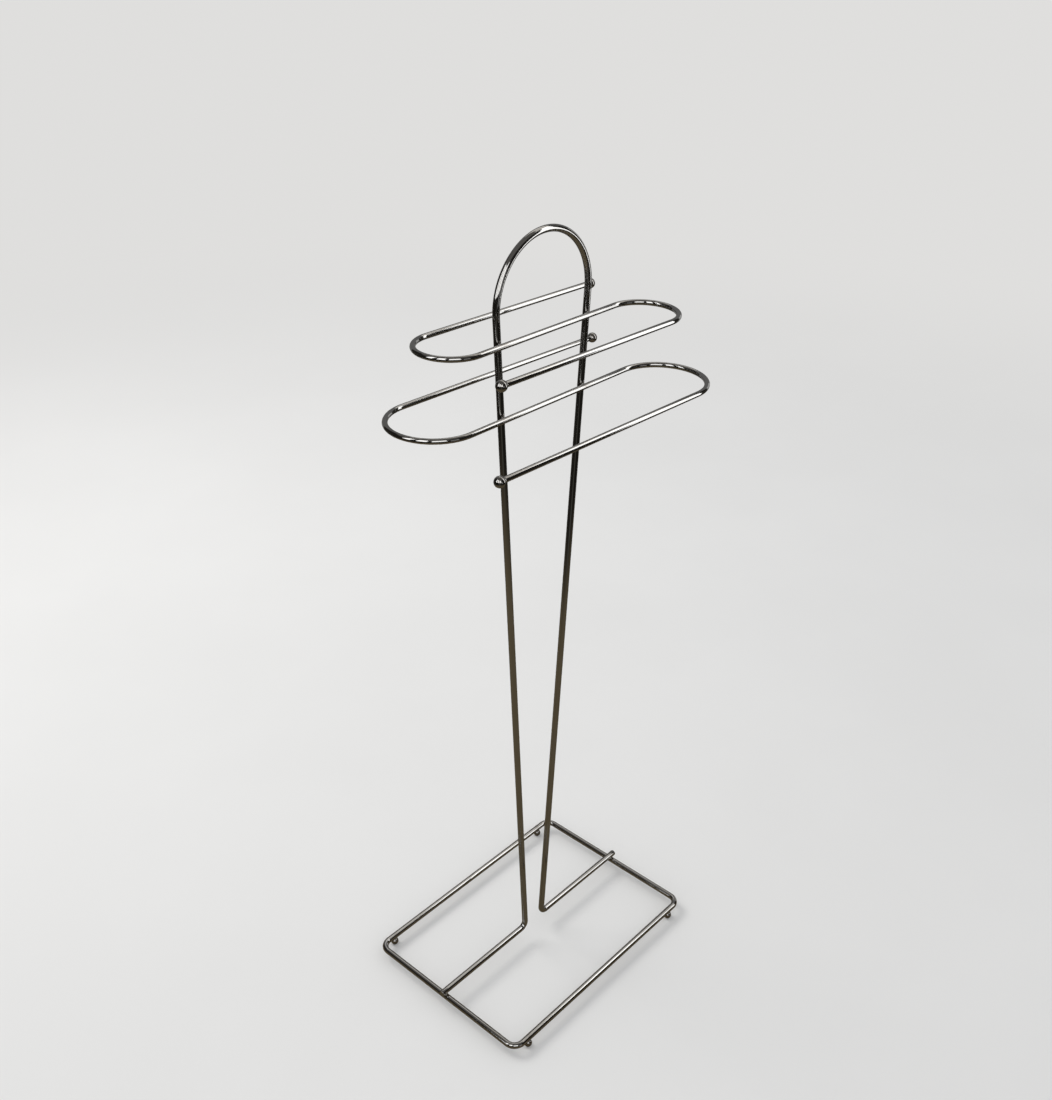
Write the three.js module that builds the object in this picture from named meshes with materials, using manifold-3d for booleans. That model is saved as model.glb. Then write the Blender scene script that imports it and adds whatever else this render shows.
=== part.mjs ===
// A valet stand of bent and chromed steel rod, in millimetres with +Z up.
// A closed ring of rod lies on four ball feet. One long rod stands on it: its two
// feet cross the ring's short sides, and its legs rise to a round arch. Two S-shaped
// rails of thinner rod cross the front of the legs, each ending in two turned balls.
// The lower rail is the widest piece, so the stand is centred under it on the floor.

import * as THREE from 'three';
import { mergeVertices } from 'three/addons/utils/BufferGeometryUtils.js';
import Module from 'manifold-3d';

const manifold = await Module();
manifold.setup();

// Rod stock, and the clearance left between pieces that touch.
const frameRodRadius = 4;
const railRodRadius = 3.2;
const fitGap = 0.3;

// The whole stand, and the base ring measured between rod centrelines.
const standHeight = 1000;
const baseLength = 347;
const baseDepth = 251;
const baseCornerRadius = 14;
const baseHeight = 14;

// Ball feet: the ring's rod sinks a little into each one.
const footRadius = 5.2;
const footFlatRadius = 1.9;
const footInset = 24.5;

// The upright: one rod, bent into two feet, two leaning legs and a half-round arch.
const archRadius = 73;
const legHalfSpread = 16.5;
const legBendRadius = 9;
const uprightOverhang = 6.5;

// The two S rails. Each outer run is bent back a little past parallel.
const railOverbend = 1.75;
const upperRail = { height: 890, turnRadius: 40, halfStraight: 108, reach: 151.5, shift: 3 };
const lowerRail = { height: 807, turnRadius: 53, halfStraight: 127, reach: 184.5, shift: 8 };
const ballRadius = 6.2;

// Weld beads: how far each one spreads from the point of contact, and how thick it is.
const baseWeld = { spread: 4.9, halfThickness: 2.1 };
const railWeld = { spread: 3.9, halfThickness: 1.8 };
const footWeld = { spread: 3.8, halfThickness: 1.4 };

// The ring's butt weld, ground almost flush with its rod.
const seamRise = 0.12;
const seamLength = 3;

// Fineness of the curved surfaces.
const rodSides = 16;
const bendStepDegrees = 9;
const ballSides = 18;
const beadSides = 16;

const X = new THREE.Vector3(1, 0, 0);
const Y = new THREE.Vector3(0, 1, 0);
const Z = new THREE.Vector3(0, 0, 1);

// A rod's centreline, made as a bender makes it: straight lengths and bends in turn.
// Its points fall only where the rod starts, ends or turns.
class BentRod extends THREE.Curve {
  constructor(start, heading) {
    super();
    this.stations = [{ point: start.clone(), tangent: heading.clone().normalize() }];
  }

  end() {
    return this.stations[this.stations.length - 1];
  }

  straight(length) {
    const { point, tangent } = this.end();
    this.stations.push({
      point: point.clone().addScaledVector(tangent, length),
      tangent: tangent.clone(),
    });
    return this;
  }

  // Turns about the axis by the right-hand rule; a negative angle turns the other way.
  bend(radius, degrees, axis) {
    const { point, tangent } = this.end();
    const inward = axis.clone().cross(tangent).multiplyScalar(radius * Math.sign(degrees));
    const centre = point.clone().add(inward);
    const steps = Math.ceil(Math.abs(degrees) / bendStepDegrees);
    for (let step = 1; step <= steps; step += 1) {
      const angle = THREE.MathUtils.degToRad((degrees * step) / steps);
      this.stations.push({
        point: point.clone().sub(centre).applyAxisAngle(axis, angle).add(centre),
        tangent: tangent.clone().applyAxisAngle(axis, angle),
      });
    }
    return this;
  }

  stationAt(along) {
    return this.stations[Math.round(along * (this.stations.length - 1))];
  }

  getPointAt(along, target = new THREE.Vector3()) {
    return target.copy(this.stationAt(along).point);
  }

  getTangentAt(along, target = new THREE.Vector3()) {
    return target.copy(this.stationAt(along).tangent);
  }
}

function sweepRod(centreline, radius) {
  const section = new THREE.Shape().absarc(0, 0, radius, 0, 2 * Math.PI);
  return new THREE.ExtrudeGeometry(section, {
    steps: centreline.stations.length - 1,
    curveSegments: rodSides / 2,
    extrudePath: centreline,
  });
}

// A solid that the boolean library can cut, from a closed geometry.
function toSolid(geometry) {
  const bare = geometry.clone();
  bare.deleteAttribute('normal');
  bare.deleteAttribute('uv');
  const merged = mergeVertices(bare, 1e-4);
  return new manifold.Manifold(new manifold.Mesh({
    numProp: 3,
    vertProperties: new Float32Array(merged.attributes.position.array),
    triVerts: new Uint32Array(merged.index.array),
  }));
}

function toGeometry(solid) {
  const cut = solid.getMesh();
  const geometry = new THREE.BufferGeometry();
  geometry.setAttribute('position', new THREE.BufferAttribute(cut.vertProperties, 3));
  geometry.setIndex(new THREE.BufferAttribute(cut.triVerts, 1));
  geometry.computeVertexNormals();
  return geometry;
}

function cutAway(geometry, ...cutters) {
  let solid = toSolid(geometry);
  for (const cutter of cutters) {
    solid = solid.subtract(toSolid(cutter));
  }
  return toGeometry(solid);
}

// A round bar about a middle point, to weld into a rod or to cut its seat.
function bar(middle, direction, halfLength, radius) {
  const geometry = new THREE.CylinderGeometry(radius, radius, 2 * halfLength, 2 * rodSides);
  geometry.applyQuaternion(new THREE.Quaternion().setFromUnitVectors(Y, direction));
  return geometry.translate(middle.x, middle.y, middle.z);
}

function sphere(centre, radius, sides) {
  const geometry = new THREE.SphereGeometry(radius, sides, sides / 2);
  return geometry.rotateX(Math.PI / 2).translate(centre.x, centre.y, centre.z);
}

function polishedChrome() {
  return new THREE.MeshStandardMaterial({ color: 0xc9cacb, roughness: 0.08, metalness: 1 });
}

function weldedChrome() {
  return new THREE.MeshStandardMaterial({ color: 0xb9b9b8, roughness: 0.22, metalness: 1 });
}

function piece(name, geometry, material) {
  const mesh = new THREE.Mesh(geometry, material);
  mesh.name = name;
  return mesh;
}

// The base: one rod bent into a rectangle and butt-welded in the middle of the rear rail.
function baseRing() {
  const longStraight = baseLength - 2 * baseCornerRadius;
  const shortStraight = baseDepth - 2 * baseCornerRadius;
  const seam = new THREE.Vector3(0, baseDepth / 2, baseHeight);
  const rootFace = fitGap / 2;
  const ring = new BentRod(seam.clone().addScaledVector(X, -rootFace), X.clone().negate());
  ring.straight(longStraight / 2 - rootFace).bend(baseCornerRadius, 90, Z);
  ring.straight(shortStraight).bend(baseCornerRadius, 90, Z);
  ring.straight(longStraight).bend(baseCornerRadius, 90, Z);
  ring.straight(shortStraight).bend(baseCornerRadius, 90, Z);
  ring.straight(longStraight / 2 - rootFace);
  const collar = bar(seam, X, seamLength / 2, frameRodRadius + seamRise);
  return toGeometry(toSolid(sweepRod(ring, frameRodRadius)).add(toSolid(collar)));
}

const uprightFootHeight = baseHeight + 2 * frameRodRadius + fitGap;
const archCentreHeight = standHeight - frameRodRadius - archRadius;

// Each leg runs from the corner where it meets its foot to where it touches the arch.
const legDrop = archCentreHeight - uprightFootHeight;
const legToArchCentre = Math.hypot(legDrop, legHalfSpread);
const legLean = Math.atan2(legDrop, legHalfSpread) - Math.acos(archRadius / legToArchCentre);
const legLength = Math.sqrt(legToArchCentre ** 2 - archRadius ** 2);

function legOffsetAt(height) {
  return legHalfSpread + (height - uprightFootHeight) * Math.tan(legLean);
}

function upright() {
  const leanDegrees = THREE.MathUtils.radToDeg(legLean);
  const bendDegrees = 90 + leanDegrees;
  const setback = legBendRadius * Math.tan(THREE.MathUtils.degToRad(bendDegrees) / 2);
  const footEnd = baseLength / 2 + uprightOverhang;
  const footStraight = footEnd - legHalfSpread - setback;
  const rod = new BentRod(new THREE.Vector3(-footEnd, 0, uprightFootHeight), X);
  rod.straight(footStraight).bend(legBendRadius, -bendDegrees, Y);
  rod.straight(legLength - setback).bend(archRadius, 90 + leanDegrees, Y);
  rod.bend(archRadius, 90 + leanDegrees, Y).straight(legLength - setback);
  rod.bend(legBendRadius, -bendDegrees, Y);
  rod.straight(footStraight);
  return sweepRod(rod, frameRodRadius);
}

// The rails' middle runs lie against the front of the legs.
const railMiddleY = -(frameRodRadius + railRodRadius + fitGap);

// An S rail is the same when turned half round, so its rear end mirrors its front end.
function railCentreline({ height, turnRadius, halfStraight, reach, shift }) {
  const turnDegrees = 180 + railOverbend;
  const middle = new THREE.Vector3(shift, railMiddleY, height);
  const outerRun = halfStraight + reach;
  const frontHalf = new BentRod(middle, X);
  frontHalf.straight(halfStraight).bend(turnRadius, -turnDegrees, Z).straight(outerRun);
  const front = frontHalf.end();
  const rearPoint = middle.clone().multiplyScalar(2).sub(front.point);
  const rail = new BentRod(rearPoint, front.tangent);
  rail.straight(outerRun).bend(turnRadius, turnDegrees, Z).straight(2 * halfStraight);
  return rail.bend(turnRadius, -turnDegrees, Z).straight(outerRun);
}

// A turned ball with a blind socket for the rod's end, which stops at the ball's centre.
function endBallGeometry() {
  const socketRadius = railRodRadius + fitGap;
  const mouthAngle = Math.asin(socketRadius / ballRadius);
  const profile = new THREE.Path();
  profile.moveTo(0, -ballRadius);
  profile.absarc(0, 0, ballRadius, -Math.PI / 2, Math.PI / 2 - mouthAngle);
  profile.lineTo(socketRadius, -fitGap);
  profile.lineTo(0, -fitGap);
  return new THREE.LatheGeometry(profile.getPoints(ballSides / 3), ballSides);
}

// The ball's socket faces back along its rod.
function endBall(name, rodEnd, intoRod) {
  const ball = piece(name, endBallGeometry(), polishedChrome());
  ball.position.copy(rodEnd);
  ball.quaternion.setFromUnitVectors(Y, intoRod);
  return ball;
}

// Ball feet, trimmed flat underneath and hollowed to seat the long rails.
const footCentreHeight = Math.sqrt(footRadius ** 2 - footFlatRadius ** 2);

function footBall(seat) {
  const centre = new THREE.Vector3(seat.x, seat.y, footCentreHeight);
  const floor = new THREE.BoxGeometry(4 * footRadius, 4 * footRadius, 2 * footRadius);
  floor.translate(seat.x, seat.y, -footRadius);
  const rail = bar(seat, X, 2 * footRadius, frameRodRadius + fitGap);
  return cutAway(sphere(centre, footRadius, ballSides), floor, rail);
}

// A squat bead around a point of contact, cut back to clear the two pieces it joins.
// What is left is a thin ring with its wedge-shaped section in the crevice between them.
function weldBead(contact, normal, { spread, halfThickness }, ...joined) {
  const bead = new THREE.SphereGeometry(spread, beadSides, beadSides / 2);
  bead.scale(1, halfThickness / spread, 1);
  bead.applyQuaternion(new THREE.Quaternion().setFromUnitVectors(Y, normal));
  bead.translate(contact.x, contact.y, contact.z);
  return cutAway(bead, ...joined);
}

function footWeldBead(seat) {
  const contact = new THREE.Vector3(seat.x, seat.y, baseHeight - frameRodRadius);
  const centre = new THREE.Vector3(seat.x, seat.y, footCentreHeight);
  const rail = bar(seat, X, 2 * footRadius, frameRodRadius + fitGap);
  return weldBead(contact, Z, footWeld, rail, sphere(centre, footRadius + fitGap, ballSides));
}

function baseWeldBead(side) {
  const contact = new THREE.Vector3(side * (baseLength / 2), 0, 0);
  const baseAxis = contact.clone().setZ(baseHeight);
  const footAxis = contact.clone().setZ(uprightFootHeight);
  contact.z = (baseHeight + uprightFootHeight) / 2;
  const reach = 2 * baseWeld.spread;
  const baseRod = bar(baseAxis, Y, reach, frameRodRadius + fitGap);
  const footRod = bar(footAxis, X, reach, frameRodRadius + fitGap);
  return weldBead(contact, Z, baseWeld, baseRod, footRod);
}

function railWeldBead(side, height) {
  const legAxis = new THREE.Vector3(side * legOffsetAt(height), 0, height);
  const railAxis = legAxis.clone().setY(railMiddleY);
  const contact = legAxis.clone().setY(-frameRodRadius - fitGap / 2);
  const legDirection = new THREE.Vector3(side * Math.sin(legLean), 0, Math.cos(legLean));
  const reach = 2 * railWeld.spread;
  const leg = bar(legAxis, legDirection, reach, frameRodRadius + fitGap);
  const rail = bar(railAxis, X, reach, railRodRadius + fitGap);
  return weldBead(contact, Y, railWeld, leg, rail);
}

const sides = { left: -1, right: 1 };
const rows = { front: -1, rear: 1 };
const rails = { upper: upperRail, lower: lowerRail };

const stand = new THREE.Group();
stand.add(piece('base_ring', baseRing(), polishedChrome()));
stand.add(piece('upright', upright(), polishedChrome()));

for (const [sideName, side] of Object.entries(sides)) {
  stand.add(piece(`base_weld_${sideName}`, baseWeldBead(side), weldedChrome()));
  for (const [rowName, row] of Object.entries(rows)) {
    const place = `${rowName}_${sideName}`;
    const footX = side * (baseLength / 2 - footInset);
    const seat = new THREE.Vector3(footX, row * (baseDepth / 2), baseHeight);
    stand.add(piece(`foot_${place}`, footBall(seat), polishedChrome()));
    stand.add(piece(`foot_weld_${place}`, footWeldBead(seat), weldedChrome()));
  }
}

for (const [railName, rail] of Object.entries(rails)) {
  const centreline = railCentreline(rail);
  const rear = centreline.stations[0];
  const front = centreline.end();
  stand.add(piece(`${railName}_rail`, sweepRod(centreline, railRodRadius), polishedChrome()));
  stand.add(endBall(`${railName}_rail_rear_ball`, rear.point, rear.tangent));
  stand.add(endBall(`${railName}_rail_front_ball`, front.point, front.tangent.clone().negate()));
  for (const [sideName, side] of Object.entries(sides)) {
    const bead = railWeldBead(side, rail.height);
    stand.add(piece(`${railName}_rail_weld_${sideName}`, bead, weldedChrome()));
  }
}

stand.position.x = -lowerRail.shift;

export default stand;
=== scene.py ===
"""A valet stand of bent chrome rod, dressed around its CAD frame.

One bent rod is the upright: two feet, two legs and the arch over them. It is welded on to a rectangular
ring of the same rod, which stands on four balls. Two thinner rods cross the legs as clothes rails, each
bent into a U-turn at both sides, with a ball on each free end.
Lengths are in metres. Angles are in radians, apart from the bearings and leans of the lights, in degrees.
Z is up, X runs along the rails and Y goes to the rear.
"""

import math

import bpy
from mathutils import Matrix, Quaternion, Vector, noise


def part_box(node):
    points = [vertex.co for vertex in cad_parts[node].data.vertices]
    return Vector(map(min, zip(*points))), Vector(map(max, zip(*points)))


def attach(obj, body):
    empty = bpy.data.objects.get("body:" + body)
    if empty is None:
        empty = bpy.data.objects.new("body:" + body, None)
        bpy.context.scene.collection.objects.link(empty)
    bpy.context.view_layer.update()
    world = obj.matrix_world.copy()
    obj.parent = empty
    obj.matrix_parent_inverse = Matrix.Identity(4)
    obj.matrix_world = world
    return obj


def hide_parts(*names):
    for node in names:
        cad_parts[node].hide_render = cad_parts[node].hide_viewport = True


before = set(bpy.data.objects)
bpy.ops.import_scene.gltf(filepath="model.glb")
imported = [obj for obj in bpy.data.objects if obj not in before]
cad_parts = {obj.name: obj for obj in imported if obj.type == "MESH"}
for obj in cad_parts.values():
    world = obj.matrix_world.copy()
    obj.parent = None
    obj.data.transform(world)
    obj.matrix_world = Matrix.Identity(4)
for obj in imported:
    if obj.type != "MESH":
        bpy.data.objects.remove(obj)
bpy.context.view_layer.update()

MM = 0.001
X = Vector((1, 0, 0))
Y = Vector((0, 1, 0))
Z = Vector((0, 0, 1))

# The bends of the rods. The places and radii of the rods and balls are read from the frame.
BASE_CORNER_RADIUS = 14 * MM
ARCH_RADIUS = 73 * MM
LEG_BEND_RADIUS = 9 * MM
LEG_HALF_SPREAD = 16.5 * MM
RAIL_TURN_RADIUS = {"upper": 40 * MM, "lower": 53 * MM}
RAIL_HALF_STRAIGHT = {"upper": 108 * MM, "lower": 127 * MM}
RAIL_OVERBEND = math.radians(1.75)

# How finely the rods are swept, and how their cut ends are rounded over.
ROD_SIDES = 48
STRAIGHT_STEP = 12 * MM
BEND_STEP = math.radians(3)
ROD_END_ROUNDING = 0.7 * MM
ROD_END_STEPS = 4

# What cold bending and butt welding leave in the rod.
BEND_FLATTENING = 0.018
BEND_WIDENING = 0.006
SEAM_RISE = 0.05 * MM
SEAM_HALF_LENGTH = 1.5 * MM
SEAM_STEP = 0.25 * MM

# How far the wear round a joint spreads.
JOINT_WEAR_REACH = 16 * MM


def middle(node):
    """The centre of a CAD node's box."""
    low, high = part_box(node)
    return (low + high) / 2


def half_size(node):
    """Half of a CAD node's box along X, Y and Z."""
    low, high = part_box(node)
    return (high - low) / 2


def ball_centre(node, outward):
    """Where a rail's ball is centred. Its box stops short at the mouth of the socket, on the rod's side."""
    half = half_size(node)
    return middle(node) - outward * (max(half) - half.x)


FRAME_ROD = half_size("upright").y
RAIL_ROD = half_size("upper_rail").z
BALL_NODES = [f"{rail}_rail_{end}_ball" for rail in ("upper", "lower") for end in ("rear", "front")]
FOOT_NAMES = [f"{row}_{side}" for row in ("front", "rear") for side in ("left", "right")]
WELD_NODES = (
    [f"base_weld_{side}" for side in ("left", "right")]
    + [f"{rail}_rail_weld_{side}" for rail in ("upper", "lower") for side in ("left", "right")]
    + [f"foot_weld_{name}" for name in FOOT_NAMES]
)
JOINT_POINTS = [middle(node) for node in WELD_NODES + BALL_NODES]


# ---------------------------------------------------------------- rods


class RodPath:
    """The centreline of a rod bent in one plane, as stations along straights and bends.

    Each station has its point, its heading, its run from the start, and its curving, which is how far
    the bend has flattened the rod there, from 0 to 1.
    """

    def __init__(self, start, heading, plane):
        self.plane = Vector(plane)
        self.points = [Vector(start)]
        self.headings = [Vector(heading).normalized()]
        self.curving = [0.0]
        self.runs = [0.0]

    def _add(self, point, heading, curving, run):
        self.points.append(point)
        self.headings.append(heading)
        self.curving.append(curving)
        self.runs.append(run)

    def straight(self, length, step=STRAIGHT_STEP):
        """Runs on in the present heading."""
        start, heading, run = self.points[-1], self.headings[-1], self.runs[-1]
        steps = max(1, round(length / step))
        for i in range(1, steps + 1):
            gone = length * i / steps
            self._add(start + heading * gone, heading.copy(), 0.0, run + gone)
        return self

    def bend(self, radius, angle):
        """Turns left about the plane's normal, or right where the angle is negative."""
        start, heading, run = self.points[-1], self.headings[-1], self.runs[-1]
        turn = math.copysign(1.0, angle)
        centre = start + self.plane.cross(heading) * radius * turn
        steps = max(2, round(abs(angle) / BEND_STEP))
        for i in range(1, steps + 1):
            share = i / steps
            spin = Matrix.Rotation(angle * share, 3, self.plane)
            curving = math.sqrt(math.sin(math.pi * share)) if i < steps else 0.0
            place = centre + spin @ (start - centre)
            self._add(place, spin @ heading, curving, run + abs(angle) * radius * share)
        return self


def mesh_object(name, vertices, faces, attributes=()):
    """A smooth-shaded mesh object. An attribute is (name, kind, a value for each vertex)."""
    mesh = bpy.data.meshes.new(name)
    mesh.from_pydata([tuple(vertex) for vertex in vertices], [], faces)
    for label, kind, values in attributes:
        layer = mesh.attributes.new(label, kind, "POINT")
        for item, value in zip(layer.data, values):
            if kind == "FLOAT_VECTOR":
                item.vector = value
            else:
                item.value = value
    mesh.polygons.foreach_set("use_smooth", [True] * len(mesh.polygons))
    mesh.update()
    thing = bpy.data.objects.new(name, mesh)
    bpy.context.scene.collection.objects.link(thing)
    return thing


def for_materials(unbent, wear):
    """The attributes that the materials read: places on the unbent piece, and how worn they are."""
    return [("unbent", "FLOAT_VECTOR", unbent), ("joint_wear", "FLOAT", wear)]


def joint_wear(point):
    """1 at a weld or a ball, fading to 0 a short way from it."""
    nearest = min((point - joint).length for joint in JOINT_POINTS)
    return max(0.0, 1 - nearest / JOINT_WEAR_REACH)


def ring_faces(first, second, sides):
    """The quads between two rings of vertices, given the index where each ring starts."""
    return [
        (first + i, first + (i + 1) % sides, second + (i + 1) % sides, second + i)
        for i in range(sides)
    ]


def rod_stations(path, radius, closed):
    """(point, heading, radius share, curving, run) for every ring of a rod, with open ends rounded over."""
    points = list(path.points)
    full = [1.0] * len(points)
    if closed:
        return list(zip(points, path.headings, full, path.curving, path.runs))[:-1]
    start, first_heading = path.points[0], path.headings[0]
    end, last_heading = path.points[-1], path.headings[-1]
    head, tail = [], []
    for i in range(ROD_END_STEPS):
        angle = math.pi / 2 * i / ROD_END_STEPS
        depth = ROD_END_ROUNDING * (1 - math.cos(angle))
        share = 1 - ROD_END_ROUNDING / radius * (1 - math.sin(angle))
        head.append((start + first_heading * depth, first_heading, share, 0.0, depth))
        tail.append((end - last_heading * depth, last_heading, share, 0.0, path.runs[-1] - depth))
    points[0] = start + first_heading * ROD_END_ROUNDING
    points[-1] = end - last_heading * ROD_END_ROUNDING
    return head + list(zip(points, path.headings, full, path.curving, path.runs)) + tail[::-1]


def seam_rise(run, length):
    """How far the butt weld stands proud, where the two ends of a closed rod meet."""
    gap = min(run, length - run) / SEAM_HALF_LENGTH
    return SEAM_RISE * max(0.0, 1 - gap * gap)


def sweep_rod(name, path, radius, closed=False):
    """A round rod along a path. It is a little flattened in its bends, as bent rod is."""
    vertices, faces, unbent, wear = [], [], [], []
    stations = rod_stations(path, radius, closed)
    for point, heading, share, curving, run in stations:
        side = path.plane.cross(heading)
        rise = seam_rise(run, path.runs[-1]) if closed else 0.0
        in_plane = radius * share * (1 - BEND_FLATTENING * curving) + rise
        off_plane = radius * share * (1 + BEND_WIDENING * curving) + rise
        worn = joint_wear(point)
        for i in range(ROD_SIDES):
            angle = 2 * math.pi * i / ROD_SIDES
            across, up = math.cos(angle), math.sin(angle)
            vertices.append(point + side * across * in_plane + path.plane * up * off_plane)
            unbent.append((across * radius, up * radius, run))
            wear.append(worn)
    last = (len(stations) - 1) * ROD_SIDES
    for start in range(0, last, ROD_SIDES):
        faces += ring_faces(start, start + ROD_SIDES, ROD_SIDES)
    if closed:
        faces += ring_faces(last, 0, ROD_SIDES)
    else:
        faces.append(tuple(reversed(range(ROD_SIDES))))
        faces.append(tuple(last + i for i in range(ROD_SIDES)))
    return mesh_object(name, vertices, faces, for_materials(unbent, wear))


def show(piece, slot, material, *nodes):
    """Puts a finished piece in place of its CAD node."""
    piece.data.materials.append(material)
    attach(piece, "root")
    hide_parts(*nodes)


def upright_path():
    """Left foot, left leg, arch, right leg and right foot, as one rod in the XZ plane."""
    low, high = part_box("upright")
    foot_height = low.z + FRAME_ROD
    centre = (low.x + high.x) / 2
    arch_height = high.z - FRAME_ROD - ARCH_RADIUS
    drop = arch_height - foot_height
    reach = math.hypot(drop, LEG_HALF_SPREAD)
    lean = math.atan2(drop, LEG_HALF_SPREAD) - math.acos(ARCH_RADIUS / reach)
    leg = math.sqrt(reach * reach - ARCH_RADIUS * ARCH_RADIUS)
    corner = math.pi / 2 + lean
    setback = LEG_BEND_RADIUS * math.tan(corner / 2)
    foot = centre - low.x - LEG_HALF_SPREAD - setback
    # Seen from the front, +Y goes away, so a left turn about -Y is up and to the left.
    path = RodPath((low.x, 0, foot_height), X, -Y)
    path.straight(foot).bend(LEG_BEND_RADIUS, corner).straight(leg - setback)
    path.bend(ARCH_RADIUS, -corner).bend(ARCH_RADIUS, -corner)
    return path.straight(leg - setback).bend(LEG_BEND_RADIUS, corner).straight(foot)


def base_path():
    """The rectangular ring, from the middle of its rear rail and back to it."""
    centre, (low, _) = middle("base_ring"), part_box("base_ring")
    # The seam's collar widens the box to the rear, so the depth comes from the front.
    rear = middle("upright").y - low.y - FRAME_ROD
    length = centre.x - low.x - FRAME_ROD - BASE_CORNER_RADIUS
    depth = rear - BASE_CORNER_RADIUS
    path = RodPath((centre.x, rear, centre.z), -X, Z)
    path.straight(SEAM_HALF_LENGTH, SEAM_STEP)
    for first, second in ((length - SEAM_HALF_LENGTH, 2 * depth), (2 * length, 2 * depth)):
        path.straight(first).bend(BASE_CORNER_RADIUS, math.pi / 2)
        path.straight(second).bend(BASE_CORNER_RADIUS, math.pi / 2)
    return path.straight(length - SEAM_HALF_LENGTH).straight(SEAM_HALF_LENGTH, SEAM_STEP)


def rail_path(rail):
    """An S in the XY plane: rear run, left U-turn, middle run across the legs, right U-turn, front run."""
    centre = middle(f"{rail}_rail")
    radius = RAIL_TURN_RADIUS[rail]
    half = RAIL_HALF_STRAIGHT[rail]
    turn = math.pi + RAIL_OVERBEND
    front = RodPath(centre, X, Z).straight(half).bend(radius, -turn)
    ball = ball_centre(f"{rail}_rail_front_ball", front.headings[-1])
    outer = (front.points[-1] - ball).length
    end = front.points[-1] + front.headings[-1] * outer
    start = 2 * centre - end
    path = RodPath(start, front.headings[-1], Z).straight(outer).bend(radius, turn)
    return path.straight(2 * half).bend(radius, -turn).straight(outer)


# ---------------------------------------------------------------- balls and feet

BALL_SIDES = 56
BALL_RINGS = 34
COLLAR_STEPS = 7
COLLAR_RISE = 0.45 * MM
COLLAR_LENGTH = 1.1 * MM
FOOT_FLAT_RADIUS = 1.9 * MM

# Where the flat end of a turned piece has rings, as shares of its radius, and where the foot's curve
# starts, as a share of its flat's angle. The rim between is eased.
INNER_RING = 0.6
RIM_RING = 0.93
CURVE_START = 1.04


def lathe(name, profile, origin, axis):
    """A closed solid turned about an axis. The profile is (radius, distance along the axis), end to end."""
    inner = profile[1:-1]
    unbent = [Vector((0, 0, profile[0][1]))]
    for radius, along in inner:
        for i in range(BALL_SIDES):
            angle = 2 * math.pi * i / BALL_SIDES
            unbent.append(Vector((radius * math.cos(angle), radius * math.sin(angle), along)))
    unbent.append(Vector((0, 0, profile[-1][1])))
    turn = Z.rotation_difference(axis).to_matrix()
    vertices = [Vector(origin) + turn @ spot for spot in unbent]
    last = len(vertices) - 1
    faces = [(0, 1 + (i + 1) % BALL_SIDES, 1 + i) for i in range(BALL_SIDES)]
    for k in range(len(inner) - 1):
        faces += ring_faces(1 + k * BALL_SIDES, 1 + (k + 1) * BALL_SIDES, BALL_SIDES)
    tail = 1 + (len(inner) - 1) * BALL_SIDES
    faces += [(last, tail + i, tail + (i + 1) % BALL_SIDES) for i in range(BALL_SIDES)]
    wear = [joint_wear(vertex) for vertex in vertices]
    return mesh_object(name, vertices, faces, for_materials(unbent, wear))


def end_ball(node, rod_heading):
    """A ball on a rail's end, with a small fillet where the rod goes in. The rod comes from behind it."""
    radius = max(half_size(node))
    collar_radius = RAIL_ROD + COLLAR_RISE
    open_angle = math.asin(collar_radius / radius)
    profile = []
    for i in range(BALL_RINGS + 1):
        angle = (math.pi - open_angle) * i / BALL_RINGS
        profile.append((radius * math.sin(angle), radius * math.cos(angle)))
    edge = profile[-1][1]
    for i in range(1, COLLAR_STEPS + 1):
        angle = math.pi / 2 * i / COLLAR_STEPS
        collar = RAIL_ROD + COLLAR_RISE * (1 - math.sin(angle))
        profile.append((collar, edge - COLLAR_LENGTH * (1 - math.cos(angle))))
    profile.append((RAIL_ROD * INNER_RING, edge - COLLAR_LENGTH))
    profile.append((0.0, edge - COLLAR_LENGTH))
    profile.reverse()
    return lathe(f"{node}_turned", profile, ball_centre(node, rod_heading), rod_heading)


def ball_foot(name):
    """A ball that carries the ring, worn flat where it stands."""
    node = f"foot_{name}"
    centre, radius = middle(node), half_size(node).x
    height = math.sqrt(radius * radius - FOOT_FLAT_RADIUS * FOOT_FLAT_RADIUS)
    open_angle = math.asin(FOOT_FLAT_RADIUS / radius) * CURVE_START
    profile = [(FOOT_FLAT_RADIUS * share, -height) for share in (0.0, INNER_RING, RIM_RING)]
    for i in range(BALL_RINGS + 1):
        angle = open_angle + (math.pi - open_angle) * i / BALL_RINGS
        profile.append((max(0.0, radius * math.sin(angle)), -radius * math.cos(angle)))
    return lathe(f"{node}_turned", profile, (centre.x, centre.y, height), Z)


# ---------------------------------------------------------------- welds

WELD_SIDES = 72
WELD_STEPS = 12

# How deep a bead bites into the pieces it joins, and how hollow its face is.
WELD_BITE = 0.25 * MM
WELD_HOLLOW = 0.30

# A bead's edge is uneven: how much, how fine its noise is, and how many even waves it has and how strong.
WELD_RIPPLE = 0.05
WELD_RIPPLE_SCALE = 2.2
WELD_WAVES = 9
WELD_WAVE_SHARE = 0.4

# How far each kind of bead reaches from its middle, and the gap that the CAD leaves between two rods.
BASE_WELD_SPREAD = 3.5 * MM
RAIL_WELD_SPREAD = 2.9 * MM
FOOT_WELD_SPREAD = 2.9 * MM
ROD_GAP = 0.3 * MM

# Where the ripple of each kind of bead starts, so that they differ.
BASE_WELD_SEED = 1.3
RAIL_WELD_SEED = 9.1
FOOT_WELD_SEED = 8.7


def round_drop(offset, radius):
    """How far a round rod or ball falls away at an offset from its crest."""
    return radius - math.sqrt(max(0.0, radius * radius - offset * offset))


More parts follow.
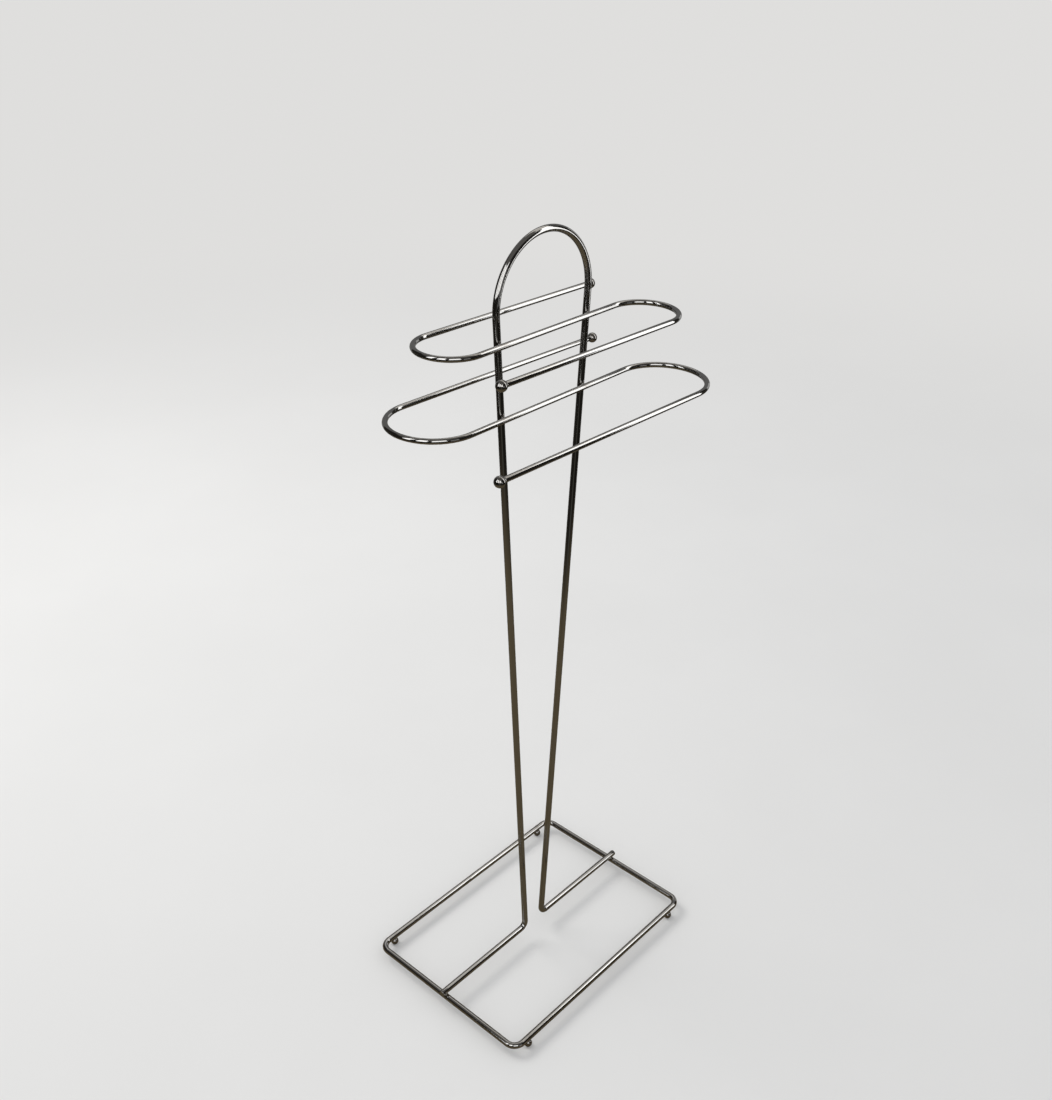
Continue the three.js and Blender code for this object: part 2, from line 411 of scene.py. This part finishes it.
def fillet_weld(name, place, normal, along, lower, upper, spread, gap, seed):
    """The bead that fills the corner between two crossing rods, or a rod and a ball.

    lower and upper give how far each piece falls away from the bead's middle, at a place along and across.
    """
    across = normal.cross(along)
    vertices, faces = [], []
    vertices.append(place - normal * (gap / 2 + WELD_BITE))
    for i in range(WELD_SIDES):
        angle = 2 * math.pi * i / WELD_SIDES
        c, s = math.cos(angle), math.sin(angle)
        ripple = noise.noise(Vector((c * WELD_RIPPLE_SCALE, s * WELD_RIPPLE_SCALE, seed)))
        waves = math.sin(angle * WELD_WAVES + seed) * WELD_WAVE_SHARE
        reach = spread * (1 + WELD_RIPPLE * (ripple + waves))
        ray = along * c + across * s
        bottom = -gap / 2 - lower(reach * c, reach * s) - WELD_BITE
        top = gap / 2 + upper(reach * c, reach * s) + WELD_BITE
        for k in range(WELD_STEPS + 1):
            share = k / WELD_STEPS
            waist = 1 - WELD_HOLLOW * math.sin(math.pi * share) * (top - bottom) / spread
            vertices.append(place + ray * reach * waist + normal * (bottom + (top - bottom) * share))
    vertices.append(place + normal * (gap / 2 + WELD_BITE))
    row = WELD_STEPS + 1
    last = len(vertices) - 1
    for i in range(WELD_SIDES):
        here, there = 1 + i * row, 1 + (i + 1) % WELD_SIDES * row
        faces.append((0, there, here))
        faces.append((last, here + WELD_STEPS, there + WELD_STEPS))
        for k in range(WELD_STEPS):
            faces.append((here + k, there + k, there + k + 1, here + k + 1))
    unbent = [vertex - place for vertex in vertices]
    wear = [1.0] * len(vertices)
    return mesh_object(name, vertices, faces, for_materials(unbent, wear))


def crossing_weld(node, normal, along, lower_radius, upper_radius, spread, seed):
    """A weld where two rods cross at a right angle. The lower rod runs along `along`."""
    return fillet_weld(
        f"{node}_bead", middle(node), normal, along,
        lambda a, b: round_drop(b, lower_radius),
        lambda a, b: round_drop(a, upper_radius),
        spread, ROD_GAP, seed,
    )


def foot_weld(name, along, seed):
    """The weld between a foot's ball, below, and the ring's rod."""
    node = f"foot_weld_{name}"
    ball = half_size(f"foot_{name}").x
    ring_bottom = middle("base_ring").z - FRAME_ROD
    place = middle(node)
    place.z = ring_bottom
    return fillet_weld(
        f"{node}_bead", place, Z, along,
        lambda a, b: round_drop(math.hypot(a, b), ball),
        lambda a, b: round_drop(b, FRAME_ROD),
        FOOT_WELD_SPREAD, 0.0, seed,
    )


# ---------------------------------------------------------------- materials


class Nodes:
    """A material's node tree, with short ways to add and join its nodes."""

    def __init__(self, name):
        self.material = bpy.data.materials.new(name)
        self.material.use_nodes = True
        self.tree = self.material.node_tree
        self.shader = self.tree.nodes["Principled BSDF"]
        self.output = self.tree.nodes["Material Output"]

    def add(self, kind, settings=None, **inputs):
        """A new node. Inputs are numbers, colours or other nodes' outputs."""
        node = self.tree.nodes.new(kind)
        for key, value in (settings or {}).items():
            setattr(node, key, value)
        for key, value in inputs.items():
            self.put(node.inputs[key.replace("_", " ")], value)
        return node

    def put(self, socket, value):
        """Links an output to a socket, or sets the socket's value."""
        if isinstance(value, bpy.types.NodeSocket):
            self.tree.links.new(value, socket)
        else:
            socket.default_value = value

    def attribute(self, name):
        """A mesh attribute's node."""
        return self.add("ShaderNodeAttribute", {"attribute_name": name})

    def drawn_out(self, vector, along):
        """A place whose distance along the rod is shortened, which draws a pattern out along it."""
        return self.add("ShaderNodeMapping", Vector=vector, Scale=(1, 1, along)).outputs["Vector"]

    def noise(self, vector, scale, detail=3.0, roughness=0.5):
        """A soft random pattern from 0 to 1."""
        made = self.add("ShaderNodeTexNoise", Vector=vector, Scale=scale, Detail=detail, Roughness=roughness)
        return made.outputs["Fac"]

    def along(self, vector, direction):
        """How far a vector reaches in a direction."""
        made = self.add("ShaderNodeVectorMath", {"operation": "DOT_PRODUCT"})
        self.put(made.inputs[0], vector)
        made.inputs[1].default_value = direction
        return made.outputs["Value"]

    def steps(self, value, low, high, to_low=0.0, to_high=1.0):
        """Maps value from low..high to to_low..to_high, smoothly and clamped."""
        made = self.add("ShaderNodeMapRange", {"interpolation_type": "SMOOTHSTEP"})
        for key, number in (("From Min", low), ("From Max", high), ("To Min", to_low), ("To Max", to_high)):
            made.inputs[key].default_value = number
        self.put(made.inputs["Value"], value)
        return made.outputs["Result"]

    def maths(self, operation, a, b=0.0):
        """Arithmetic on one or two numbers."""
        made = self.add("ShaderNodeMath", {"operation": operation})
        self.put(made.inputs[0], a)
        self.put(made.inputs[1], b)
        return made.outputs[0]

    def bump(self, height, strength, depth, over=None):
        """A normal bent by a pattern, over another bump's normal where one is given."""
        made = self.add("ShaderNodeBump", Height=height, Strength=strength, Distance=depth)
        if over is not None:
            self.put(made.inputs["Normal"], over)
        return made.outputs["Normal"]

    def mix(self, share, a, b):
        """A colour between a and b. A Mix node's colours are its inputs 6 and 7 and its output 2."""
        made = self.add("ShaderNodeMix", {"data_type": "RGBA"})
        self.put(made.inputs["Factor"], share)
        self.put(made.inputs[6], a)
        self.put(made.inputs[7], b)
        return made.outputs[2]


CHROME = (0.50, 0.497, 0.49, 1)
CHROME_WARM = (0.46, 0.45, 0.43, 1)
GRIME = (0.16, 0.13, 0.10, 1)
PIT = (0.10, 0.065, 0.045, 1)
WELD_CHROME = (0.52, 0.515, 0.50, 1)
WELD_SHADE = (0.34, 0.33, 0.31, 1)

# How fine the patterns are, in features a metre. Each ALONG shortens the distance along the rod, which
# draws its pattern out.
DRAW_LINE_SCALE = 2600
DRAW_LINE_ALONG = 0.02
RIPPLE_SCALE = 210
RIPPLE_ALONG = 0.12
SMUDGE_SCALE = 46
SMUDGE_ALONG = 0.35
CLOUD_SCALE = 9
PIT_SCALE = 420
PIT_AREA_SCALE = 60
WELD_LUMP_SCALE = 900
WELD_GRAIN_SCALE = 4200

# The roughness of clean polished chrome, what each mark adds to it, and how far grime hides its colour.
POLISHED_ROUGHNESS = 0.05
DRAW_LINE_ROUGHNESS = 0.04
HAND_ROUGHNESS = 0.06
GRIME_ROUGHNESS = 0.08
PIT_ROUGHNESS = 0.45
GRIME_COVER = 0.55

# The roughness of a weld bead, where its pattern is low and where it is high.
WELD_LOW_ROUGHNESS = 0.34
WELD_HIGH_ROUGHNESS = 0.16

# How deep the patterns go.
RIPPLE_DEPTH = 0.005 * MM
DRAW_LINE_DEPTH = 0.002 * MM
PIT_DEPTH = 0.012 * MM
WELD_LUMP_DEPTH = 0.12 * MM
WELD_GRAIN_DEPTH = 0.02 * MM


def chrome_material():
    """Polished chrome plate: draw lines and ripples along the rod, hand marks, clouds, grime and pits."""
    n = Nodes("polished_chrome_rod")
    unbent = n.attribute("unbent").outputs["Vector"]
    worn = n.attribute("joint_wear").outputs["Fac"]
    lines = n.noise(n.drawn_out(unbent, DRAW_LINE_ALONG), DRAW_LINE_SCALE, 2.0, 0.6)
    ripple = n.noise(n.drawn_out(unbent, RIPPLE_ALONG), RIPPLE_SCALE, 2.0, 0.45)
    smudge = n.noise(n.drawn_out(unbent, SMUDGE_ALONG), SMUDGE_SCALE, 4.0, 0.62)
    cloud = n.noise(unbent, CLOUD_SCALE)
    pits = n.add("ShaderNodeTexVoronoi", Vector=unbent, Scale=PIT_SCALE, Randomness=1.0)
    pit_here = n.steps(pits.outputs["Distance"], 0.10, 0.17, 1.0, 0.0)
    pit_area = n.steps(n.noise(unbent, PIT_AREA_SCALE, 2.0), 0.68, 0.78)
    pit = n.maths("MULTIPLY", pit_here, pit_area)
    hands = n.steps(smudge, 0.52, 0.70)
    grimy = n.maths("MULTIPLY", n.steps(worn, 0.25, 1.0), n.steps(smudge, 0.3, 0.65))
    colour = n.mix(n.steps(cloud, 0.35, 0.7), CHROME, CHROME_WARM)
    colour = n.mix(n.maths("MULTIPLY", grimy, GRIME_COVER), colour, GRIME)
    n.put(n.shader.inputs["Base Color"], n.mix(pit, colour, PIT))
    rough = n.maths("ADD", n.steps(lines, 0.3, 0.75, 0.0, DRAW_LINE_ROUGHNESS), POLISHED_ROUGHNESS)
    for mark, added in ((hands, HAND_ROUGHNESS), (grimy, GRIME_ROUGHNESS), (pit, PIT_ROUGHNESS)):
        rough = n.maths("ADD", rough, n.maths("MULTIPLY", mark, added))
    n.put(n.shader.inputs["Roughness"], rough)
    n.shader.inputs["Metallic"].default_value = 1.0
    wavy = n.bump(ripple, 1.0, RIPPLE_DEPTH)
    fine = n.bump(lines, 0.25, DRAW_LINE_DEPTH, wavy)
    n.put(n.shader.inputs["Normal"], n.bump(pit, 0.6, -PIT_DEPTH, fine))
    return n.material


def weld_material():
    """Plated weld bead: duller than the rod, uneven, with darker hollows."""
    n = Nodes("welded_chrome")
    unbent = n.attribute("unbent").outputs["Vector"]
    lumps = n.noise(unbent, WELD_LUMP_SCALE, 3.0, 0.6)
    grain = n.noise(unbent, WELD_GRAIN_SCALE, 2.0, 0.6)
    shade = n.steps(lumps, 0.35, 0.65)
    uneven = n.maths("ADD", lumps, n.maths("MULTIPLY", grain, 0.4))
    n.put(n.shader.inputs["Base Color"], n.mix(shade, WELD_SHADE, WELD_CHROME))
    n.put(n.shader.inputs["Roughness"], n.steps(uneven, 0.5, 1.0, WELD_LOW_ROUGHNESS, WELD_HIGH_ROUGHNESS))
    n.shader.inputs["Metallic"].default_value = 1.0
    coarse = n.bump(lumps, 0.8, WELD_LUMP_DEPTH)
    n.put(n.shader.inputs["Normal"], n.bump(grain, 0.4, WELD_GRAIN_DEPTH, coarse))
    return n.material


# ---------------------------------------------------------------- stage, lights and camera

# The colours of the lights, and of the stage as the camera and the chrome see it.
KEY = (1.0, 0.985, 0.96)
FILL = (0.97, 0.98, 1.0, 1)
FILL_STRENGTH = 0.80
CEILING = (1.0, 0.97, 0.92)
CEILING_RIGHT = (1.0, 0.955, 0.89)
BACKDROP = (0.74, 0.735, 0.725, 1)
FLOOR_PALE = (0.80, 0.795, 0.78, 1)
FLOOR_PALE_CLOUD = (0.78, 0.775, 0.76, 1)
FLOOR_NEAR_IN_CHROME = (0.15, 0.12, 0.075, 1)
FLOOR_FAR_IN_CHROME = (0.018, 0.016, 0.013, 1)
FLOOR_REAR_IN_CHROME = (0.05, 0.045, 0.036, 1)
FLOOR_GLARE_IN_CHROME = (0.10, 0.095, 0.08, 1)
ROOM_IN_CHROME = (0.022, 0.020, 0.018, 1)

FLOOR_RADIUS = 30.0
FLOOR_SIDES = 96
FLOOR_CLOUD_SCALE = 1.6

# Distances on the floor from the stand's middle, where one tone starts to give way to another and ends.
FADE_START = 1.2
FADE_END = 3.6
DIM_START = 0.75
DIM_END = 1.5
REAR_START = 0.05
REAR_END = 0.9
GLARE_START = 0.9
GLARE_END = 1.5
GLARE_HALF_WIDTH = 0.75

# The bearing of the wall behind the stand, in degrees, and how far off it is.
REAR_WALL_BEARING = 42
REAR_WALL_DISTANCE = 1.46


def at_bearing(bearing):
    """The level direction at a bearing in degrees, from X towards Y."""
    angle = math.radians(bearing)
    return Vector((math.cos(angle), math.sin(angle), 0))


def floor_material():
    """Pale and plain to the camera. The chrome sees a dimmer one, brown near by and lighter to the rear."""
    n = Nodes("studio_floor")
    n.tree.nodes.remove(n.shader)
    place = n.add("ShaderNodeTexCoord").outputs["Object"]
    distance = n.add("ShaderNodeVectorMath", {"operation": "LENGTH"})
    n.put(distance.inputs[0], place)
    rearward = at_bearing(REAR_WALL_BEARING)
    to_rear = n.along(place, rearward)
    to_front = n.steps(n.along(place, -rearward), GLARE_START, GLARE_END)
    aside = n.maths("ABSOLUTE", n.along(place, rearward.cross(Z)))
    glare = n.maths("MULTIPLY", to_front, n.steps(aside, 0.0, GLARE_HALF_WIDTH, 1.0, 0.0))
    cloud = n.steps(n.noise(place, FLOOR_CLOUD_SCALE, 4.0, 0.55), 0.3, 0.7)
    seen = n.add("ShaderNodeBsdfDiffuse", Color=n.mix(cloud, FLOOR_PALE, FLOOR_PALE_CLOUD))
    far = n.add("ShaderNodeEmission", Color=BACKDROP, Strength=1.0)
    fade = n.add("ShaderNodeMixShader", Fac=n.steps(distance.outputs["Value"], FADE_START, FADE_END))
    n.put(fade.inputs[1], seen.outputs[0])
    n.put(fade.inputs[2], far.outputs[0])
    away = n.steps(distance.outputs["Value"], DIM_START, DIM_END)
    dim = n.mix(away, FLOOR_NEAR_IN_CHROME, FLOOR_FAR_IN_CHROME)
    dim = n.mix(n.steps(to_rear, REAR_START, REAR_END), dim, FLOOR_REAR_IN_CHROME)
    dim = n.mix(glare, dim, FLOOR_GLARE_IN_CHROME)
    mirrored = n.add("ShaderNodeBsdfDiffuse", Color=dim)
    swap = n.add("ShaderNodeMixShader", Fac=n.add("ShaderNodeLightPath").outputs["Is Glossy Ray"])
    n.put(swap.inputs[1], fade.outputs[0])
    n.put(swap.inputs[2], mirrored.outputs[0])
    n.put(n.output.inputs["Surface"], swap.outputs[0])
    return n.material


def build_floor():
    """A round floor, wide enough to meet the backdrop's colour."""
    rim = [at_bearing(360 * i / FLOOR_SIDES) * FLOOR_RADIUS for i in range(FLOOR_SIDES)]
    floor = mesh_object("studio_floor", rim, [tuple(range(FLOOR_SIDES))])
    floor.data.materials.append(floor_material())


def build_world():
    """An even backdrop to the camera, soft fill to the floor, and a dim room to the chrome."""
    world = bpy.data.worlds.new("studio")
    world.use_nodes = True
    tree = world.node_tree
    light_path = tree.nodes.new("ShaderNodeLightPath")
    shades = []
    for colour, strength in ((BACKDROP, 1.0), (FILL, FILL_STRENGTH), (ROOM_IN_CHROME, 1.0)):
        shade = tree.nodes.new("ShaderNodeBackground")
        shade.inputs["Color"].default_value = colour
        shade.inputs["Strength"].default_value = strength
        shades.append(shade.outputs[0])
    seen, fill, room = shades
    to_chrome = tree.nodes.new("ShaderNodeMixShader")
    to_camera = tree.nodes.new("ShaderNodeMixShader")
    for mixer, ray, otherwise, chosen in (
        (to_chrome, "Is Glossy Ray", fill, room),
        (to_camera, "Is Camera Ray", to_chrome.outputs[0], seen),
    ):
        tree.links.new(light_path.outputs[ray], mixer.inputs[0])
        tree.links.new(otherwise, mixer.inputs[1])
        tree.links.new(chosen, mixer.inputs[2])
    tree.links.new(to_camera.outputs[0], tree.nodes["World Output"].inputs["Surface"])
    bpy.context.scene.world = world


def area_light(name, place, target, width, height, radiance, colour=(1, 1, 1)):
    """A rectangular light that faces its target. Radiance is what a mirror shows of it."""
    light = bpy.data.lights.new(name, "AREA")
    light.shape = "RECTANGLE"
    light.size, light.size_y = width, height
    light.energy = radiance * width * height * math.pi
    light.color = colour
    thing = bpy.data.objects.new(name, light)
    bpy.context.scene.collection.objects.link(thing)
    thing.location = place
    thing.rotation_mode = "QUATERNION"
    thing.rotation_quaternion = (Vector(target) - Vector(place)).to_track_quat("-Z", "Y")
    thing.visible_camera = False
    return thing


def reflector(name, bearing, distance, width, low, high, radiance, lean=0.0):
    """A bright card that only the chrome sees, facing the stand from a bearing. It leans to its right."""
    height = (low + high) / 2
    place = at_bearing(bearing) * distance + Z * height
    card = area_light(name, place, (0, 0, height), width, high - low, radiance)
    card.rotation_quaternion = card.rotation_quaternion @ Quaternion(Z, -math.radians(lean))
    card.visible_diffuse = False


def ceiling(name, place, width, height, radiance, colour):
    """A bright card overhead that only the chrome sees, facing the stand's foot."""
    card = area_light(name, place, (0, 0, 0), width, height, radiance, colour)
    card.visible_diffuse = False


def build_lights():
    """A soft key from the rear left for the floor, and the walls, windows and ceiling in the chrome."""
    key = area_light(
        "key_rear_left", place=(-0.5, 2.3, 2.5), target=(0, 0, 0.2),
        width=1.7, height=1.2, radiance=4.8, colour=KEY,
    )
    key.visible_glossy = False
    reflector("rear_wall", REAR_WALL_BEARING, REAR_WALL_DISTANCE, width=3.8, low=0, high=3.0, radiance=0.15)
    reflector("window_right", -42.8, 1.45, width=0.29, low=0.42, high=1.5, radiance=2.4)
    reflector("window_right_high", -34.0, 1.45, width=0.40, low=1.42, high=2.35, radiance=2.4, lean=26)
    reflector("window_left", 163, 2.6, width=0.75, low=1.1, high=4.2, radiance=2.3)
    reflector("window_front_left", -165, 2.6, width=1.0, low=1.2, high=4.0, radiance=2.3)
    reflector("window_front", -128, 2.8, width=1.6, low=1.2, high=3.4, radiance=1.9)
    reflector("wall_front", -95, 4.0, width=1.3, low=0, high=1.9, radiance=0.35)
    reflector("wall_right", 0, 4.0, width=1.5, low=0, high=1.9, radiance=0.35)
    ceiling("ceiling", (0, 0, 3.4), width=5.0, height=5.0, radiance=0.12, colour=CEILING)
    ceiling("ceiling_right", (3.1, 0.55, 5.1), width=6.9, height=2.1, radiance=0.62, colour=CEILING_RIGHT)


# The camera. The picture is a little taller than wide, so SENSOR, the sensor's long side, is upright.
CAMERA_PLACE = (-0.961598, -0.834761, 1.335411)
CAMERA_AZIMUTH = math.radians(-48.09)
CAMERA_ELEVATION = math.radians(29.501)
CAMERA_ROLL = math.radians(0.634)
VERTICAL_FIELD = math.radians(47.775)
SENSOR = 0.024


def build_camera():
    """Looks down on the stand from its front left."""
    back = Vector((
        math.sin(CAMERA_AZIMUTH) * math.cos(CAMERA_ELEVATION),
        -math.cos(CAMERA_AZIMUTH) * math.cos(CAMERA_ELEVATION),
        math.sin(CAMERA_ELEVATION),
    ))
    right = Vector((math.cos(CAMERA_AZIMUTH), math.sin(CAMERA_AZIMUTH), 0))
    up = back.cross(right)
    turned_right = right * math.cos(CAMERA_ROLL) + up * math.sin(CAMERA_ROLL)
    turned_up = up * math.cos(CAMERA_ROLL) - right * math.sin(CAMERA_ROLL)
    data = bpy.data.cameras.new("camera")
    data.sensor_fit = "AUTO"
    data.sensor_width = SENSOR / MM
    data.lens = SENSOR / MM / 2 / math.tan(VERTICAL_FIELD / 2)
    camera = bpy.data.objects.new("camera", data)
    bpy.context.scene.collection.objects.link(camera)
    turn = Matrix((turned_right, turned_up, back)).transposed().to_4x4()
    camera.matrix_world = Matrix.Translation(CAMERA_PLACE) @ turn
    bpy.context.scene.camera = camera


# ---------------------------------------------------------------- the object


def build_rods(chrome):
    """The upright, the ring and both rails."""
    ring = base_path()
    show(sweep_rod("upright_rod", upright_path(), FRAME_ROD), "polished_chrome", chrome, "upright")
    show(sweep_rod("base_ring_rod", ring, FRAME_ROD, closed=True), "polished_chrome", chrome, "base_ring")
    for rail in ("upper", "lower"):
        path = rail_path(rail)
        node = f"{rail}_rail"
        show(sweep_rod(f"{node}_rod", path, RAIL_ROD), "polished_chrome", chrome, node)
        rear, front = f"{node}_rear_ball", f"{node}_front_ball"
        show(end_ball(rear, -path.headings[0]), "polished_chrome", chrome, rear)
        show(end_ball(front, path.headings[-1]), "polished_chrome", chrome, front)


def build_welds_and_feet(chrome, weld):
    """The beads where rods cross, and the feet with theirs."""
    for k, side in enumerate(("left", "right")):
        node = f"base_weld_{side}"
        bead = crossing_weld(node, Z, Y, FRAME_ROD, FRAME_ROD, BASE_WELD_SPREAD, BASE_WELD_SEED + k)
        show(bead, "weld_chrome", weld, node)
        for rail in ("upper", "lower"):
            node = f"{rail}_rail_weld_{side}"
            bead = crossing_weld(node, Y, X, RAIL_ROD, FRAME_ROD, RAIL_WELD_SPREAD, RAIL_WELD_SEED + k)
            show(bead, "weld_chrome", weld, node)
    for k, name in enumerate(FOOT_NAMES):
        show(ball_foot(name), "polished_chrome", chrome, f"foot_{name}")
        show(foot_weld(name, X, FOOT_WELD_SEED + k), "weld_chrome", weld, f"foot_weld_{name}")


bpy.context.scene.view_settings.view_transform = "Standard"
build_camera()
build_world()
build_floor()
build_lights()
chrome = chrome_material()
weld = weld_material()
build_rods(chrome)
build_welds_and_feet(chrome, weld)
